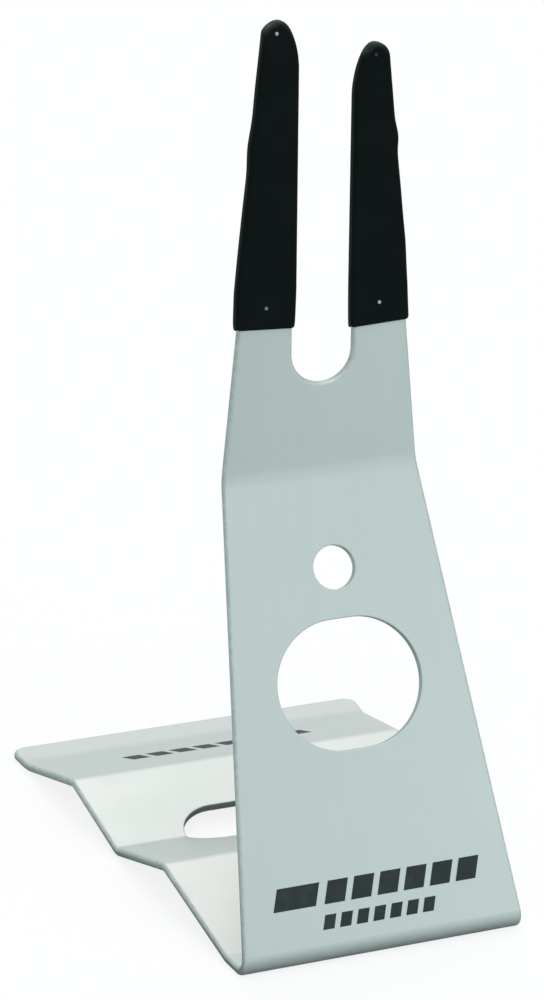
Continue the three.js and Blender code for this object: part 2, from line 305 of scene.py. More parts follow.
def centre_at(along):
    """Y, Z and heading of the centreline, in millimetres and radians, along the blank."""
    along = np.asarray(along, float)
    which = np.clip(np.searchsorted(STARTS, along, side="right") - 1, 0, len(RUNS) - 1)
    start, _, y, z, heading, radius, side = np.moveaxis(np.array(RUNS)[which], -1, 0)
    past = along - start
    bent = (radius > 0) & (along >= 0)
    turned = heading + np.where(bent, side * past / np.where(bent, radius, 1), 0)
    arc_y = side * radius * (np.sin(turned) - np.sin(heading))
    arc_z = -side * radius * (np.cos(turned) - np.cos(heading))
    y = y + np.where(bent, arc_y, past * np.cos(heading))
    z = z + np.where(bent, arc_z, past * np.sin(heading))
    return y, z + TOP_Z, turned


def bend(across, along, lift):
    """Places in metres; lift is -3 mm at the plate's front face and +3 mm at its back face."""
    y, z, heading = centre_at(along)
    return np.stack([across, y - lift * np.sin(heading), z + lift * np.cos(heading)], -1) * MM


def bend_direction(out_across, out_along, out_lift, along):
    """The bent direction of a step across, along and through the blank."""
    heading = centre_at(along)[2]
    y = out_along * np.cos(heading) - out_lift * np.sin(heading)
    z = out_along * np.sin(heading) + out_lift * np.cos(heading)
    return np.stack([out_across, y, z], -1)


foot_z = float(bend(0, BLANK_END, -HALF)[2]) / MM
print("foot's underside is", round(foot_z, 3), "mm above the floor")

# %% [markdown]
# ## The blank's outline and holes
#
# The outline is a long trapezoid with round rear corners. At the top a slot leaves two prongs,
# the left one a little longer. Each prong's tip is an ellipse on the inside, which guides an axle
# in, and a small arc outside. Three holes lighten the plate: a small round one and a large,
# slightly wide one in the front, and a long one that runs over a bend of the base. A Boolean
# modifier could cut them from the finished plate, but it cuts in one direction, and on a bend the
# hole's wall would no longer stand square to the metal.

# %% Draw the outline
NECK_HALF_WIDTH = 68.7
TAPER = 0.0985
LEAN = math.atan(TAPER)
SLOT = 42.5
SLOT_FLOOR = 55.5
TIP_SHARE = 0.427
REAR_CORNER = 10.0
PRONGS = {
    "left": {"sign": -1, "reach": 295.5, "lead_in": 28, "mouth": 96.5},
    "right": {"sign": 1, "reach": 277.2, "lead_in": 34, "mouth": 92.5},
}


def half_width(along):
    """Half the blank's width at a place along it."""
    return NECK_HALF_WIDTH + TAPER * along


def arc(middle, radii, start, end, steps):
    """Points on an arc or ellipse, angles in radians."""
    return [(middle[0] + radii[0] * math.cos(angle), middle[1] + radii[1] * math.sin(angle))
            for angle in np.linspace(start, end, steps + 1)]


def tip_points(prong, grown=0.0):
    """A right prong's tip, from inner edge to flank, as across and height above the neck."""
    top = prong["reach"] + grown
    radius = TIP_SHARE * (half_width(-prong["reach"]) - SLOT / 2) + grown
    apex = half_width(-(top - radius)) + grown / math.cos(LEAN) - radius / math.cos(LEAN)
    inner = SLOT / 2 - grown
    lead_in = prong["lead_in"] + grown
    guide = arc((apex, top - lead_in), (apex - inner, lead_in), math.pi, math.pi / 2, 28)
    return guide + arc((apex, top - radius), (radius, radius), math.pi / 2, LEAN, 16)[1:]


def stations(end=math.inf, steps=24):
    """Places along the blank, up to an end, that keep every bend round."""
    return sorted({round(float(place), 6) for run in RUNS if run.radius
                   for place in np.linspace(run.start, run.start + run.length, steps + 1)
                   if place < end})


def outline():
    """The whole outline, once round, as across and along."""
    corner_along = BLANK_END - REAR_CORNER
    corner_across = half_width(corner_along) - REAR_CORNER / math.cos(LEAN)
    corner_radii = (REAR_CORNER, REAR_CORNER)
    rear = arc((corner_across, corner_along), corner_radii, -LEAN, math.pi / 2, 18)
    flank = [(half_width(place), place) for place in stations(rear[0][1] - 1)]
    slot = arc((0, -SLOT_FLOOR - SLOT / 2), (SLOT / 2, SLOT / 2), 0, math.pi, 48)
    halves = {side: [(x, -height) for x, height in tip_points(prong)] + flank + rear
              for side, prong in PRONGS.items()}
    left = [(-x, along) for x, along in reversed(halves["left"])]
    return halves["right"] + left + slot[::-1]


shape = outline()
print("outline has", len(shape), "points")

# %% Draw the holes
def round_ended_hole(width, length, middle, steps=56):
    """A hole with round ends across the blank, or a circle where width and length are equal."""
    radius, straight = length / 2, (width - length) / 2
    right = arc((straight, middle), (radius, radius), -math.pi / 2, math.pi / 2, steps)
    points = right + [(-x, along) for x, along in reversed(right)]
    return [p for i, p in enumerate(points) if math.dist(p, points[i - 1]) > 1e-4]


valley = RUNS[VALLEY]
HOLES = {
    "small front hole": round_ended_hole(29.5, 29.5, 71.5),
    "large front hole": round_ended_hole(102.6, 86.8, 149),
    "base hole": round_ended_hole(134, 54, valley.start + valley.length / 2 + 1.8),
}
print("points on each hole:", {name: len(hole) for name, hole in HOLES.items()})

# %% [markdown]
# ## From drawing to face
#
# Each face of the plate is the drawing, filled with triangles by a Delaunay fill that keeps the
# outline and the bend lines as edges. One large polygon would be simpler, but Blender would cut
# it into long triangles that cross the bends, and the bends would look broken. The fill also
# covers the holes and the slot, so a test keeps only the triangles that lie inside the drawing.

# %% Grow a drawing and tell its inside
def signed_area(loop):
    """The area inside a loop; its sign tells which way round the loop runs."""
    x, y = np.array(loop).T
    return 0.5 * float(np.sum(x * np.roll(y, -1) - np.roll(x, -1) * y))


def corner_normals(points):
    """At each corner the sum of its two edges' normals, and the number to divide it by."""
    before = points - np.roll(points, 1, axis=0)
    after = np.roll(points, -1, axis=0) - points
    first, second = (np.stack([edge[:, 1], -edge[:, 0]], -1)
                     / np.linalg.norm(edge, axis=1)[:, None] for edge in (before, after))
    return first + second, (1 + np.sum(first * second, axis=1))[:, None]


def grown_loop(loop, distance):
    """The loop moved outwards by a distance, corner by corner."""
    points = np.array(loop)
    total, divisor = corner_normals(points)
    return points + math.copysign(1, signed_area(loop)) * distance * total / divisor


def inside(points, loops):
    """Whether each point is inside the drawing, by counting the lines to its right."""
    crossings = np.zeros(len(points), int)
    for loop in loops:
        a, b = np.array(loop), np.roll(np.array(loop), -1, axis=0)
        for (ax, ay), (bx, by) in zip(a, b):
            if ay == by:
                continue
            spans = (ay > points[:, 1]) != (by > points[:, 1])
            cut = ax + (points[:, 1] - ay) * (bx - ax) / (by - ay)
            crossings += spans & (points[:, 0] < cut)
    return crossings % 2 == 1


print("outline covers", round(abs(signed_area(shape)) / 100), "square centimetres")

# %% Fill a drawing with triangles
PAST_OUTLINE = 5


def fill(loops, lines):
    """Points and triangles that fill the loops and keep the cross lines as edges."""
    points, edges = [], []
    for loop in loops:
        first = len(points)
        points += [tuple(p) for p in loop]
        edges += [(first + i, first + (i + 1) % len(loop)) for i in range(len(loop))]
    reach = max(abs(p[0]) for p in points) + PAST_OUTLINE
    for along in lines:
        edges.append((len(points), len(points) + 1))
        points += [(-reach, along), (reach, along)]
    places = [Vector(p) for p in points]
    verts, _, faces, *_ = geometry.delaunay_2d_cdt(places, edges, [], 0, 1e-5, False)
    verts = np.array([tuple(v) for v in verts])
    faces = np.array([face for face in faces if len(face) == 3])
    faces = faces[inside(verts[faces].mean(axis=1), loops)]
    corners = verts[faces]
    twice = np.cross(corners[:, 1] - corners[:, 0], corners[:, 2] - corners[:, 0])
    faces = np.where(twice[:, None] < 0, faces[:, ::-1], faces)
    used, faces = np.unique(faces, return_inverse=True)
    return verts[used], faces.reshape(-1, 3)


EDGE_RADIUS = 2.6
RIM_RADIUS = 0.8
face_loops = [grown_loop(shape, -EDGE_RADIUS)]
face_loops += [grown_loop(hole, RIM_RADIUS) for hole in HOLES.values()]
face_points, face_triangles = fill(face_loops, stations())
print("each face has", len(face_triangles), "triangles")

# %% [markdown]
# ## The plate's edges
#
# No cut edge is sharp on the real stand. The outline is broken by almost half the plate's
# thickness, as on sheet metal that was tumbled for long, and the holes by less. Here the edges
# are rolled over by rings that step outwards and down from each face. A Bevel modifier could
# round them too, but it can't know the true curve. Each point also gets the exact normal of the
# surface, so the bends shade without facets, and it stores its place on the blank and how far
# round the edge it lies, for the finish to read.

# %% Find the rims and roll them over
def rims(faces):
    """The boundary loops of a filled drawing, each in order with the metal on its left."""
    edges = {(int(f[i]), int(f[(i + 1) % 3])) for f in faces for i in range(3)}
    ahead = {a: b for a, b in edges if (b, a) not in edges}
    loops = []
    while ahead:
        start, here = next(iter(ahead.items()))
        loop = [start]
        del ahead[start]
        while here != start:
            loop.append(here)
            here = ahead.pop(here)
        loops.append(loop)
    return loops


def strips(rows, closed=False):
    """The corners of each face between neighbouring rows of points."""
    if closed:
        rows = [row + row[:1] for row in rows]
    return [corners for lower, upper in zip(rows, rows[1:])
            for corners in zip(lower, lower[1:], upper[1:], upper)]


def rolled_slab(face_points, faces, radius_of, half, steps=6):
    """A closed slab with rolled rims: places on the blank, ways out, angles and polygons."""
    count = len(face_points)
    blank, out, angle = [], [], []
    for side in (-1, 1):
        blank += [(x, along, side * half) for x, along in face_points]
        out += [(0.0, 0.0)] * count
        angle += [side * math.pi / 2] * count
    polygons = faces[:, ::-1].tolist() + (faces + count).tolist()
    for loop in rims(faces):
        points = face_points[loop]
        total, divisor = corner_normals(points)
        normals = total / divisor
        radius = radius_of(points)
        rows = [loop]
        for side in (-1, 1):
            for step in (range(1, steps + 1) if side < 0 else range(steps, 0, -1)):
                share = step / steps * math.pi / 2
                rows.append(list(range(len(blank), len(blank) + len(loop))))
                grown = points + normals * radius * math.sin(share)
                lift = side * (half - radius * (1 - math.cos(share)))
                blank += [(x, along, lift) for x, along in grown]
                out += [tuple(n / np.linalg.norm(n)) for n in normals]
                angle += [side * (math.pi / 2 - share)] * len(loop)
        rows.append([i + count for i in loop])
        polygons += strips(rows, closed=True)
    return np.array(blank), np.array(out), np.array(angle), polygons


print("rims:", [len(loop) for loop in rims(face_triangles)], "points each")

# %% Make the plate
LONG_LOOP = 500
EDGE_SHADE_FALL = 1.2


def radius_of_rim(points):
    """The outline is broken more than the holes, and is known by its length along the blank."""
    return EDGE_RADIUS if np.ptp(points[:, 1]) > LONG_LOOP else RIM_RADIUS


def bent_mesh(name, blank, out, angle, polygons):
    """A bent mesh with exact normals and the attributes that the finish reads."""
    mesh = bpy.data.meshes.new(name)
    mesh.from_pydata(bend(*blank.T).tolist(), [], polygons)
    mesh.validate()
    bm = bmesh.new()
    bm.from_mesh(mesh)
    bmesh.ops.recalc_face_normals(bm, faces=bm.faces)
    bm.to_mesh(mesh)
    bm.free()
    blank_layer = mesh.attributes.new("blank", "FLOAT_VECTOR", "POINT")
    blank_layer.data.foreach_set("vector", (blank * MM).ravel())
    rim = np.cos(angle) * np.abs(np.sin(angle)) * 2
    # The cut mask is painted shade: it darkens the side walls and spreads onto the rolled edges.
    for label, values in (("rim", rim), ("cut", np.cos(angle) ** EDGE_SHADE_FALL)):
        mesh.attributes.new(label, "FLOAT", "POINT").data.foreach_set("value", values)
    mesh.polygons.foreach_set("use_smooth", [True] * len(mesh.polygons))
    level = np.cos(angle)
    normals = bend_direction(out[:, 0] * level, out[:, 1] * level, np.sin(angle), blank[:, 1])
    normals = normals / np.linalg.norm(normals, axis=1)[:, None]
    mesh.normals_split_custom_set_from_vertices(normals.tolist())
    return mesh


slab = rolled_slab(face_points, face_triangles, radius_of_rim, HALF)
plate = add_object("plate", bent_mesh("plate", *slab))
solid_low, solid_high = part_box("stand_plate")
shift = solid_low.y - min(v.co.y for v in plate.data.vertices)
plate.data.transform(Matrix.Translation((0, shift, 0)))
Y_SHIFT = shift / MM
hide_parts("stand_plate")
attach(plate, "root")
places = np.array([v.co for v in plate.data.vertices])
print("plate:", len(plate.data.polygons), "faces")
for found, solid in ((places.min(axis=0), solid_low), (places.max(axis=0), solid_high)):
    print("corner", (found / MM).round(2), "and the frame's", (np.array(solid) / MM).round(2))

# %% [markdown]
# ## The sleeves
#
# Each sleeve is a soft vinyl sock, pulled or shrunk over its prong. It is thin, so it shows the
# flat prong under it, but its edges are fuller, it sits a little loose, its outer side swells
# here and there, and one lump shows where the vinyl gathered. Cloth simulation could drape such a
# sock too, but its folds couldn't be placed where the photo shows them. So the swells are a short
# list of bumps, each with its height above the floor, its spread and its size.

# %% Say how loose each sleeve is
LUMPS = {
    "left": [(432, 38, 0.75), (470, 26, 0.45), (490, 14, 0.2), (522, 13, 1.35), (560, 18, 0.3)],
    "right": [(432, 42, 1.1), (452, 14, 0.5), (478, 36, 0.55), (490, 30, 0.5), (523, 8, 1.55),
              (545, 22, 0.3)],
}
LOOSE = {"left": (1.05, 1.65), "right": (0.6, 0.0)}
TIGHT_TIP = 6
TIGHT_MOUTH = 25
TIGHT_INNER_TIP = 10
INNER_FADE = 20


def swell(side, height):
    """How far a sleeve's outer side stands out at a height above the floor, in millimetres."""
    return sum(size * math.exp(-(((height - place) / spread) ** 2))
               for place, spread, size in LUMPS[side])


def loosened(side, inner, outer, heights, top):
    """The edges of a sleeve that sits loose and swells, and is tight at its tip and mouth."""
    below_top = top - heights
    above_mouth = heights - PRONGS[side]["mouth"]
    fade = np.clip(below_top / TIGHT_TIP, 0, 1) * np.sqrt(np.clip(above_mouth / TIGHT_MOUTH, 0, 1))
    inner_fade = np.clip((below_top - TIGHT_INNER_TIP) / INNER_FADE, 0, 1)
    swells = np.array([swell(side, height + TOP_Z) for height in heights])
    inner = inner - fade * inner_fade * LOOSE[side][0]
    return inner, outer + fade * (LOOSE[side][1] + swells)


for side in LUMPS:
    widest = max(swell(side, height) for height in range(400, 600))
    print(side, "sleeve swells by up to", round(widest, 2), "mm")

# %% Find the edges of a sleeve
def edges_at(side, grown, height):
    """The inner and outer edge of the grown prong at heights above the neck."""
    tip = tip_points(PRONGS[side], grown)
    peak = max(range(len(tip)), key=lambda i: tip[i][1])
    xs, zs = np.array(tip).T
    inner = np.interp(height, zs[:peak + 1], xs[:peak + 1])
    outer = np.interp(-height, -zs[peak:], xs[peak:])
    flank = half_width(-height) + grown / math.cos(LEAN)
    outer = np.where(height < zs[-1], flank, outer)
    inner = np.where(height < zs[0], SLOT / 2 - grown, inner)
    return inner, outer


def rounding(gap, radius):
    """How far a round corner lifts the mouth's edge at a distance from the corner."""
    return radius * (1 - np.sqrt(np.clip(1 - (1 - np.clip(gap / radius, 0, 1)) ** 2, 0, 1)))


def distance_from_edge(x, z):
    """How far each place of a grid lies from the grid's own sides and top."""
    inner_side = np.stack([x[:, 0], z[:, 0]], -1)
    outer_side = np.stack([x[::-1, -1], z[::-1, -1]], -1)
    line = np.concatenate([inner_side, outer_side])
    a, b = line[:-1], line[1:]
    keep = np.linalg.norm(b - a, axis=1) > 1e-6
    a, b = a[keep], b[keep]
    grid = np.stack([x, z], -1).reshape(-1, 1, 2)
    share = np.clip(np.sum((grid - a) * (b - a), -1) / np.sum((b - a) ** 2, -1), 0, 1)
    gaps = np.linalg.norm(grid - (a + share[..., None] * (b - a)), axis=-1)
    return np.min(gaps, axis=1).reshape(x.shape)


for side, prong in PRONGS.items():
    inner, outer = edges_at(side, 0.0, prong["mouth"])
    print(side, "prong is", round(float(outer - inner), 1), "mm wide at the sleeve's mouth")

# %% [markdown]
# ## A sleeve's two skins
#
# A skin is a grid over the prong's outline whose height falls off in a quarter circle near the
# edge. The outside is such a grid, and the same grid a little smaller makes the inside. The mouth
# is cut at a slant, one corner of its front is square and the other round, and its back hangs a
# little lower. A flat sheet with a Solidify modifier would be shorter to write, but the front and
# the back of its mouth would be alike.

# %% Shape one skin of a sleeve
ROW_CROWDING = 1.15
MOUTH_TILT = TAPER / 2
MOUTH_REACH = 16
SQUARE_CORNER = 0.6
BACK_HANG = 2.4


def skin(side, grown, edge_radius, mouth_radius, soft, columns=44, rows=96, tip_rows=34):
    """One skin on a grid: across, heights in front and behind, half depth, gap to the edge."""
    prong = PRONGS[side]
    mouth = prong["mouth"]
    top = prong["reach"] + grown
    straight = top - prong["lead_in"] - grown
    low = mouth + (straight - mouth) * np.linspace(0, 1, rows + 1) ** ROW_CROWDING
    high = straight + (top - straight) * np.sin(np.linspace(0, math.pi / 2, tip_rows + 1)[1:])
    heights = np.concatenate([low, high])
    shares = 0.5 - 0.5 * np.cos(np.linspace(0, math.pi, columns + 1))
    inner, outer = edges_at(side, grown, heights)
    if soft:
        inner, outer = loosened(side, inner, outer, heights, top)
    x = inner[:, None] + (outer - inner)[:, None] * shares[None, :]
    z = np.repeat(heights[:, None], columns + 1, axis=1)
    middle = (inner[0] + outer[0]) / 2
    ease = np.clip(1 - (z - mouth) / MOUTH_REACH, 0, 1) ** 2
    gaps = [x - x[:, :1], x[:, -1:] - x][::prong["sign"]]
    z = z + ease * (x - middle) * MOUTH_TILT
    corners = np.maximum(rounding(gaps[0], SQUARE_CORNER), rounding(gaps[1], mouth_radius))
    front = z + ease * corners
    back = z + ease * rounding(np.minimum(*gaps), mouth_radius) - BACK_HANG * ease
    depth = distance_from_edge(x, z)
    inset = np.clip(edge_radius - depth, 0, edge_radius)
    fall = np.sqrt(np.clip(edge_radius ** 2 - inset ** 2, 0, None))
    half = HALF + grown - edge_radius + fall
    return x * prong["sign"], {-1: front, 1: back}, half, depth


SKIN_GAP = 0.3
SKIN_WALL = 1.1
SKINS = {
    "out": {"grown": SKIN_GAP + SKIN_WALL, "edge_radius": 2.7, "mouth_radius": 2.6, "soft": True},
    "in": {"grown": SKIN_GAP, "edge_radius": 1.6, "mouth_radius": 3.0, "soft": False},
}
print("a skin's grid is", skin("left", **SKINS["out"])[0].shape)

# %% [markdown]
# ## From skins to sleeves
#
# Soft vinyl is never quite even, so slow waves from a noise function lift and sink the outside. A
# Displace modifier could do that too, but here the waves can fade out near the edges, where they
# would spoil the outline. Each point also stores how much painted highlight its edge gets, which
# is most near the tip. At the mouth both skins meet in a round lip.

# %% Set the points of a skin
BROAD_WAVE = {"size": 26, "strength": 0.22}
FINE_WAVE = {"size": 9, "strength": 0.06}
BROAD_SEED, FINE_SEED = 3.1, 11.7
BROAD_REACH = 6
SUNK = 0.12
HIGHEST = 0.15
# How far down from the top and in from the edge the painted highlight on a tip reaches.
TIP_HIGHLIGHT_REACH = 9.0
TIP_HIGHLIGHT_WIDTH = 3.6
UP_THE_PRONG = -100.0
PRONG_MIDDLE = float(centre_at(UP_THE_PRONG)[0]) + Y_SHIFT


def wave(x, z, seed, size, strength):
    """Slow ups and downs of a soft skin, the same on every run."""
    return strength * noise.noise(Vector((x / size + seed, seed * 0.37, z / size)))


def softness(x, z, depth, sign, face):
    """How far the outside of a sleeve stands up at a place, in millimetres."""
    full = min(1.0, depth / BROAD_REACH)
    lift = full * (wave(x, z, BROAD_SEED * face + sign, **BROAD_WAVE) - SUNK)
    return min(lift + wave(x, z, FINE_SEED + face, **FINE_WAVE), HIGHEST)


def add_points(bm, sign, face, x, z, half, depth, soft):
    """The front (face -1) or the back (face 1) of a skin as rows of points, with their painted
    highlight.
    """
    tip_highlight_layer = bm.verts.layers.float["tip_highlight"]
    top = z.max()
    rows = []
    for row in zip(x, z, half, depth):
        points = []
        for px, pz, thick, gap in zip(*row):
            lift = softness(px, pz, gap, sign, face) if soft else 0.0
            y = PRONG_MIDDLE + face * (thick + lift)
            point = bm.verts.new((px * MM, y * MM, (pz + TOP_Z) * MM))
            # The painted highlight is strongest at the top of the tip and at its edge.
            near_top = min(1.0, max(0.0, 1 + (pz - top) / TIP_HIGHLIGHT_REACH))
            point[tip_highlight_layer] = near_top * max(0.0, 1 - gap / TIP_HIGHLIGHT_WIDTH)
            points.append(point)
        rows.append(points)
    return rows


print("the prongs' middle plane is at y", round(PRONG_MIDDLE, 2), "mm")

# %% Make both sleeves
LIP_SHARES = (0.25, 0.5, 0.75)
LIP_DROP = 0.35


def add_faces(bm, rows, closed=False):
    """Adds the faces between rows of points; a row that is one point gets triangles."""
    for corners in strips(rows, closed):
        bm.faces.new(list(dict.fromkeys(corners)))


def add_lip(bm, outer_ring, inner_ring):
    """Joins the mouths of both skins in a round lip."""
    rings = [outer_ring]
    for share in LIP_SHARES:
        drop = Vector((0, 0, math.sin(share * math.pi) * LIP_DROP * MM))
        rings.append([bm.verts.new(a.co.lerp(b.co, share) - drop)
                      for a, b in zip(outer_ring, inner_ring)])
    add_faces(bm, rings + [inner_ring], closed=True)


def make_sleeve(side):
    """A sleeve from its two skins: front and back of each, joined at the sides, and a lip."""
    bm = bmesh.new()
    bm.verts.layers.float.new("tip_highlight")
    grids = {}
    for label, settings in SKINS.items():
        x, heights, half, depth = skin(side, **settings)
        for face, z in heights.items():
            grids[label, face] = add_points(bm, PRONGS[side]["sign"], face, x, z, half, depth,
                                            settings["soft"])
    for rows in grids.values():
        add_faces(bm, rows)
    for label in SKINS:
        for end in (0, -1):
            add_faces(bm, [[row[end] for row in grids[label, face]] for face in (-1, 1)])
    outer_ring, inner_ring = (grids[label, -1][0] + grids[label, 1][0][::-1] for label in SKINS)
    add_lip(bm, outer_ring, inner_ring)
    bmesh.ops.remove_doubles(bm, verts=bm.verts, dist=0.00002)
    bmesh.ops.dissolve_degenerate(bm, edges=bm.edges, dist=0.00001)
    bmesh.ops.recalc_face_normals(bm, faces=bm.faces)
    made = make_object(side + "_sleeve_skin", bm, smooth=True)
    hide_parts(side + "_sleeve")
    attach(made, "root")
    return made


sleeves = [make_sleeve(side) for side in PRONGS]
for sleeve in sleeves:
    width = round(sleeve.dimensions.x / MM, 1)
    print(sleeve.name, len(sleeve.data.polygons), "faces, widest", width, "mm")

# %% [markdown]
# ## The rivets
#
# Four small domed heads, two on each sleeve, keep the vinyl from sliding off. Such a rivet is
# turned or headed round its axis, so each one is a short profile turned round a line. The head is
# domed in front, the tail is rolled over behind. A squashed sphere would pass for a head from
# afar, but not for the thin flange that lies on the vinyl. The small shifts below, across and
# up, bring each head to where the photo shows it, and the third is its share of painted shade.

# %% Turn the rivets
SEAT = 4.42
HEAD_RADIUS = 1.35
SHANK_RADIUS = 0.9
DOME_HEIGHT = 0.72
DOME_BASE = 0.18
FLANGE = [(HEAD_RADIUS, -0.08), (HEAD_RADIUS - 0.1, 0), (SHANK_RADIUS, 0)]
TAIL = [(SHANK_RADIUS, 0), (1.3, 0), (1.45, 0.12), (1.4, 0.38),
        (1.2, 0.5), (0.7, 0.42), (0.35, 0.25), (0, 0.22)]


def turned(profile, name, steps=40):
    """A body turned round the Y axis from a profile of radius and depth, in millimetres."""
    bm = bmesh.new()
    angles = [2 * math.pi * i / steps for i in range(steps)]
    rows = []
    for radius, depth in profile:
        if radius == 0:
            rows.append([bm.verts.new((0, depth * MM, 0))] * steps)
        else:
            rows.append([bm.verts.new((radius * math.cos(a) * MM, depth * MM,
                                       radius * math.sin(a) * MM)) for a in angles])
    add_faces(bm, rows, closed=True)
    bmesh.ops.recalc_face_normals(bm, faces=bm.faces)
    return make_object(name, bm, smooth=True)


def rivet_profile():
    """A domed head in front, a shank, and a rolled tail behind."""
    dome = [(HEAD_RADIUS * math.sin(a), -SEAT - DOME_BASE - DOME_HEIGHT * math.cos(a))
            for a in np.linspace(0, math.pi / 2, 12)]
    flange = [(radius, -SEAT + depth) for radius, depth in FLANGE]
    return dome + flange + [(radius, SEAT + depth) for radius, depth in TAIL]


print("a rivet's profile has", len(rivet_profile()), "points")

# %% Set the rivets
# Shift across and up, in millimetres, and the share of painted shade that darkens each head.
RIVETS = {
    "left_tip_rivet": (-2.7, 2.8, 0.0),
    "left_mouth_rivet": (-0.3, 1.6, 0.5),
    "right_tip_rivet": (-0.7, 1.6, 1.0),
    "right_mouth_rivet": (-1.6, 1.9, 0.0),
}
rivets = []
for name, (across, up, shade_share) in RIVETS.items():
    solid_low, solid_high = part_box(name)
    middle = (solid_low + solid_high) / 2
    place = (middle.x + across * MM, PRONG_MIDDLE * MM, middle.z + up * MM)
    rivet = turned(rivet_profile(), name + "_turned")
    rivet.data.transform(Matrix.Translation(place))
    rivet_shade = rivet.data.attributes.new("rivet_shade", "FLOAT", "POINT")
    rivet_shade.data.foreach_set("value", [shade_share] * len(rivet.data.vertices))
    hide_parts(name)
    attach(rivet, "root")
    rivets.append(rivet)
print(len(rivets), "rivets, heads", round(rivets[0].dimensions.x / MM, 2), "mm across")

# %% [markdown]
# ## The printed bars
#
# The lower front and the rear slope carry a plain screen print in dark ink: rows of slanted bars.
# Ink is a real layer, so each bar is a very thin slab that is laid on the blank and bent with it.
# A mask in the metal's material would do as well, but its edge would blur when it is baked.

# %% Lay bars on the blank
INK = 0.05


def slanted_bar(across, width, along, height, slant, face, steps=12):
    """Near and far edge of one bar; face is -1 for front or underside, 1 for back or top."""
    near = [(across + width * i / steps, along) for i in range(steps + 1)]
    far = [(x + slant, along + height) for x, _ in near]
    return near, far, face


def print_bars(name, bars):
    """A thin slab for each bar, bent with the plate."""
    bm = bmesh.new()
    for near, far, face in bars:
        rows = []
        for lift in (HALF * face, (HALF + INK) * face):
            for edge in (near, far):
                places = bend(*np.array(edge).T, lift)
                rows.append([bm.verts.new((x, y + Y_SHIFT * MM, z)) for x, y, z in places])
        base_near, base_far, top_near, top_far = rows
        ring = [base_near, top_near, top_far, base_far]
        add_faces(bm, ring + [base_near])
        for end in (0, -1):
            bm.faces.new([row[end] for row in ring])
    bmesh.ops.recalc_face_normals(bm, faces=bm.faces)
    made = make_object(name, bm)
    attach(made, "root")
    return made


print("ink is", INK, "mm thick")

# %% Print the front and the rear slope
LARGE_BAR = {"height": 15, "slant": -4.5}
SMALL_BAR = {"height": 9.5, "slant": -2.8}
front_row = [(-71, 30)] + [(-35 + 18.9 * i, 14.5) for i in range(6)]
second_row = [(-40 + 11.9 * i, 8) for i in range(7)]
rear_row = [(-68 + 18.3 * i, 13.5) for i in range(8)]
front_bars = [slanted_bar(x, width, 275, face=-1, **LARGE_BAR) for x, width in front_row]
front_bars += [slanted_bar(x, width, 297, face=-1, **SMALL_BAR) for x, width in second_row]
front_print = print_bars("front_print", front_bars)
rear_along = RUNS[REAR_SLOPE].start + 34
rear_bars = [slanted_bar(x, width, rear_along, face=1, **LARGE_BAR) for x, width in rear_row]
rear_print = print_bars("rear_print", rear_bars)
print("front print is", round(front_print.dimensions.x / MM), "mm wide")

# %% [markdown]
# ## Effects that several finishes share
#
# Three small node groups are built once and used with other values in each material. Fine grain
# is a stretched noise for rolled metal or an even one for moulded skin. The rim group lightens
# edges in patches: wear that hands and boxes rub on the metal, painted highlight on the sleeves'
# tips. Handling marks are soft, large patches that change how sharply a surface shines.

# %% Fine grain
COARSE_SIZE = 0.13


def new_group(name, outputs, **inputs):
    """A node group whose outputs are numbers; returns it and its input and output nodes."""
    group = bpy.data.node_groups.new(name, "ShaderNodeTree")
    for label, value in inputs.items():
        kind = "NodeSocketVector" if isinstance(value, tuple) else "NodeSocketFloat"
        socket = group.interface.new_socket(label, in_out="INPUT", socket_type=kind)
        socket.default_value = value
    for label in outputs:
        group.interface.new_socket(label, in_out="OUTPUT", socket_type="NodeSocketFloat")
    return group, group.nodes.new("NodeGroupInput"), group.nodes.new("NodeGroupOutput")


grain, start, end = new_group("Fine grain", ("Height", "Tone"),
                              Place=(0, 0, 0), Stretch=(1, 1, 1), Size=1.0)
stretched = add_node(grain, "ShaderNodeVectorMath", operation="MULTIPLY")
grain.links.new(start.outputs["Place"], stretched.inputs[0])
grain.links.new(start.outputs["Stretch"], stretched.inputs[1])
size = start.outputs["Size"]
fine = add_node(grain, "ShaderNodeTexNoise", Vector=stretched.outputs[0], Scale=size,
                Detail=3.0, Roughness=0.6)
coarse = add_node(grain, "ShaderNodeTexNoise", Vector=stretched.outputs[0],
                  Scale=add_maths(grain, "MULTIPLY", size, COARSE_SIZE),
                  Detail=2.0, Roughness=0.5)
halves = [add_maths(grain, "MULTIPLY", kind.outputs["Fac"], 0.5) for kind in (fine, coarse)]
grain.links.new(fine.outputs["Fac"], end.inputs["Height"])
grain.links.new(add_maths(grain, "ADD", *halves), end.inputs["Tone"])
print("group:", grain.name)

# %% Rim wear and painted highlight
rim_wear_and_highlight, start, end = new_group("Rim wear and highlight", ("Mask",), Place=(0, 0, 0), Rim=0.0, Amount=0.5)
patches = add_node(rim_wear_and_highlight, "ShaderNodeTexNoise", Vector=start.outputs["Place"],
                   Scale=160.0, Detail=4.0, Roughness=0.65)
torn = add_node(rim_wear_and_highlight, "ShaderNodeMapRange", Value=patches.outputs["Fac"],
                From_Min=0.42, From_Max=0.66)
# Patches on the rims: wear on the metal, painted highlight on the sleeves' tips.
rim_patches = add_maths(rim_wear_and_highlight, "MULTIPLY", torn.outputs["Result"], start.outputs["Rim"])
rim_mask = add_maths(rim_wear_and_highlight, "MULTIPLY", rim_patches, start.outputs["Amount"])
rim_wear_and_highlight.links.new(rim_mask, end.inputs["Mask"])
print("group:", rim_wear_and_highlight.name)

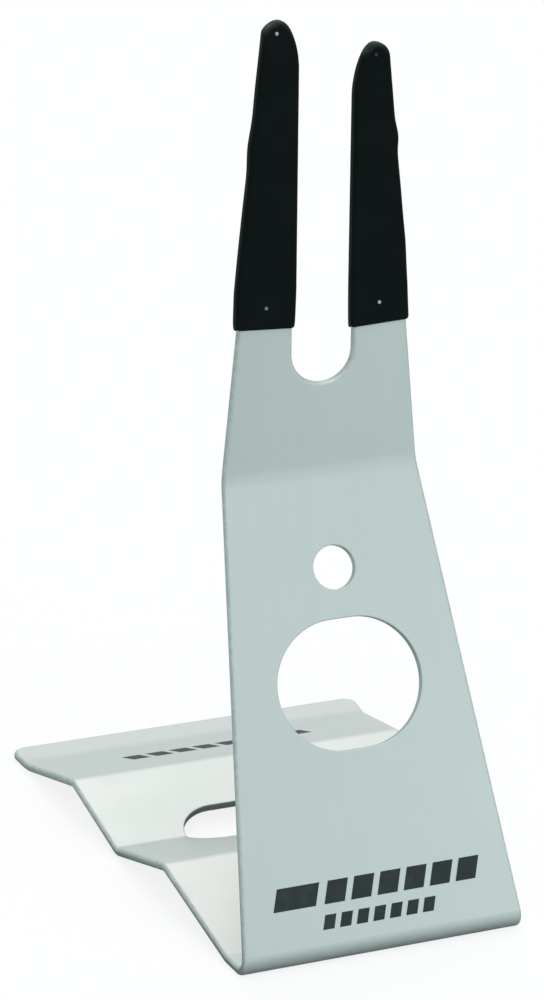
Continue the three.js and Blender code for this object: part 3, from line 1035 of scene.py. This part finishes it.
# %% Handling marks
marks, start, end = new_group("Handling marks", ("Mask",), Place=(0, 0, 0), Size=12.0, Cover=0.5)
cloudy = add_node(marks, "ShaderNodeTexNoise", Vector=start.outputs["Place"],
                  Scale=start.outputs["Size"], Detail=3.0, Roughness=0.55, Distortion=0.6)
spread = add_node(marks, "ShaderNodeMapRange", interpolation_type="SMOOTHSTEP",
                  Value=cloudy.outputs["Fac"], From_Min=0.4, From_Max=0.72)
cover = add_maths(marks, "MULTIPLY", spread.outputs["Result"], start.outputs["Cover"])
marks.links.new(cover, end.inputs["Mask"])
print("group:", marks.name)

# %% [markdown]
# ## The finishes
#
# Each finish is one Principled shader with plain values on its own sockets, a colour that changes
# a little over the surface, a roughness that handling has changed, and a fine relief. Every value
# comes from comparing patches of the render with the same patches of the photo. Judging by eye
# would fail, because a tone next to pure white looks right when it isn't.

# %% Helpers for the finishes
def new_material(name, **sockets):
    """A material with a Principled shader, whose plain values are set on its own sockets."""
    material = bpy.data.materials.new(name)
    material.use_nodes = True
    shader = material.node_tree.nodes["Principled BSDF"]
    for socket, value in sockets.items():
        shader.inputs[socket.replace("_", " ")].default_value = value
    return material, material.node_tree, shader


def use_group(tree, group, **values):
    """Places a shared group; values are plain or the outputs of other nodes."""
    return add_node(tree, "ShaderNodeGroup", node_tree=group, **values)


def stored(tree, name, output="Fac"):
    """What the mesh stores at each point under a name."""
    return add_node(tree, "ShaderNodeAttribute", attribute_name=name).outputs[output]


def spread_value(tree, factor, low_value, high_value):
    """A number that goes from one value to the other as the factor goes from 0 to 1."""
    return add_maths(tree, "MULTIPLY_ADD", factor, high_value - low_value, low_value)


def finish(tree, shader, colour, roughness, height, depth):
    """Feeds colour, roughness and relief to the shader; depth is the relief's, in metres."""
    bump = add_node(tree, "ShaderNodeBump", Strength=1.0, Distance=depth, Height=height)
    tree.links.new(colour, shader.inputs["Base Color"])
    tree.links.new(roughness, shader.inputs["Roughness"])
    tree.links.new(bump.outputs["Normal"], shader.inputs["Normal"])


print("finish helpers ready")

# %% [markdown]
# ## Satin aluminium
#
# The plate is cool grey with a trace of green, half mirror and half powdery, as blasted and
# anodised metal is. A fully metallic shader would go dark wherever it mirrors something dark, and
# plain grey paint would lose the soft shine, so this one lies between the two. Its base colour
# changes by a few percent along the rolling direction, the side walls and rolled edges are painted
# deeper as painted shade, and edges that hands rub are lighter.

# %% Satin aluminium
METAL_LIGHT = (0.515, 0.58, 0.57)
METAL_DEEP = (0.485, 0.55, 0.54)
METAL_RUB = (0.62, 0.68, 0.665)
METAL_EDGE_SHADE = (0.35, 0.425, 0.41)
aluminium, tree, shader = new_material("satin aluminium", Metallic=0.55, IOR=1.45,
                                       Specular_IOR_Level=0.4)
place = stored(tree, "blank", "Vector")
rolled = use_group(tree, grain, Place=place, Stretch=(1.0, 0.05, 1.0), Size=900.0)
rubs = use_group(tree, rim_wear_and_highlight, Place=place, Rim=stored(tree, "rim"), Amount=0.55)
touch = use_group(tree, marks, Place=place, Size=14.0, Cover=0.5)
face = blend_colours(tree, rolled.outputs["Tone"], METAL_DEEP, METAL_LIGHT)
# Painted shade on the side walls and rolled edges.
body = blend_colours(tree, stored(tree, "cut"), face, METAL_EDGE_SHADE)
body = blend_colours(tree, rubs.outputs["Mask"], body, METAL_RUB)
roughness = spread_value(tree, touch.outputs["Mask"], 0.5, 0.42)
finish(tree, shader, body, roughness, rolled.outputs["Height"], 0.000012)
plate.data.materials.append(aluminium)
print("plate wears", aluminium.name)

# %% [markdown]
# ## Black vinyl
#
# The sleeves are nearly black, with low shine and a faint pebble, and the top edges of their tips
# are painted grey in patches as a painted highlight. It follows the share that each point stores.
# A mask by height would be quicker, but the prongs differ in length.

# %% Black vinyl
VINYL_DEEP = (0.0058, 0.0096, 0.0090)
VINYL_LIGHT = (0.0078, 0.0120, 0.0114)
VINYL_TIP_HIGHLIGHT = (0.075, 0.095, 0.09)
vinyl, tree, shader = new_material("black vinyl", Metallic=0.0, Specular_IOR_Level=0.03)
place = add_node(tree, "ShaderNodeTexCoord").outputs["Object"]
pebble = use_group(tree, grain, Place=place, Size=1500.0)
cloud = use_group(tree, marks, Place=place, Size=32.0, Cover=0.8)
body = blend_colours(tree, cloud.outputs["Mask"], VINYL_DEEP, VINYL_LIGHT)
# Painted highlight: the tips' top edges are lightened in patches.
tip_highlight_share = stored(tree, "tip_highlight")
tip_highlight_patches = use_group(tree, rim_wear_and_highlight, Place=place, Rim=tip_highlight_share, Amount=1.0)
tip_highlight_mask = add_maths(tree, "MULTIPLY_ADD", tip_highlight_share, 0.5, tip_highlight_patches.outputs["Mask"])
body = blend_colours(tree, tip_highlight_mask, body, VINYL_TIP_HIGHLIGHT)
roughness = spread_value(tree, cloud.outputs["Mask"], 0.58, 0.46)
finish(tree, shader, body, roughness, pebble.outputs["Height"], 0.00003)
for sleeve in sleeves:
    sleeve.data.materials.append(vinyl)
print("sleeves wear", vinyl.name)

# %% [markdown]
# ## Plated rivets
#
# The heads are plated steel. Some are bright in the photo and one is almost as dark as the vinyl,
# so the finish blends to a dark copy of the steel, as painted shade, by the number that each rivet
# stores. A material for each rivet would do the same, with four sets of values to keep in step.

# %% Plated rivets
STEEL_BRIGHT = (0.30, 0.32, 0.32)
STEEL_DULL = (0.19, 0.21, 0.21)
STEEL_SHADED = (0.025, 0.035, 0.035)
steel, tree, shader = new_material("plated rivet", Metallic=1.0)
place = add_node(tree, "ShaderNodeTexCoord").outputs["Object"]
turning = use_group(tree, grain, Place=place, Size=2600.0)
dulled = use_group(tree, marks, Place=place, Size=420.0, Cover=0.7)
body = blend_colours(tree, dulled.outputs["Mask"], STEEL_BRIGHT, STEEL_DULL)
# Painted shade: the stored share blends each head to a dark copy of the steel.
body = blend_colours(tree, stored(tree, "rivet_shade"), body, STEEL_SHADED)
roughness = spread_value(tree, dulled.outputs["Mask"], 0.24, 0.4)
finish(tree, shader, body, roughness, turning.outputs["Height"], 0.00001)
for rivet in rivets:
    rivet.data.materials.append(steel)
print("rivets wear", steel.name)

# %% [markdown]
# ## Screen ink
#
# Ink is matt and slightly thin, so its colour lightens in soft patches, and its relief is as fine
# as the mesh that it was pressed through. Pure black would look like a hole in the metal.

# %% Screen ink
INK_FULL = (0.012, 0.022, 0.021)
INK_THIN = (0.03, 0.045, 0.043)
ink, tree, shader = new_material("screen ink", Metallic=0.0, Specular_IOR_Level=0.3)
place = add_node(tree, "ShaderNodeTexCoord").outputs["Object"]
mesh_dots = use_group(tree, grain, Place=place, Size=2200.0)
thin = use_group(tree, marks, Place=place, Size=90.0, Cover=0.5)
body = blend_colours(tree, thin.outputs["Mask"], INK_FULL, INK_THIN)
roughness = spread_value(tree, mesh_dots.outputs["Tone"], 0.5, 0.7)
finish(tree, shader, body, roughness, mesh_dots.outputs["Height"], 0.000008)
for bars in (front_print, rear_print):
    bars.data.materials.append(ink)
print("bars wear", ink.name)
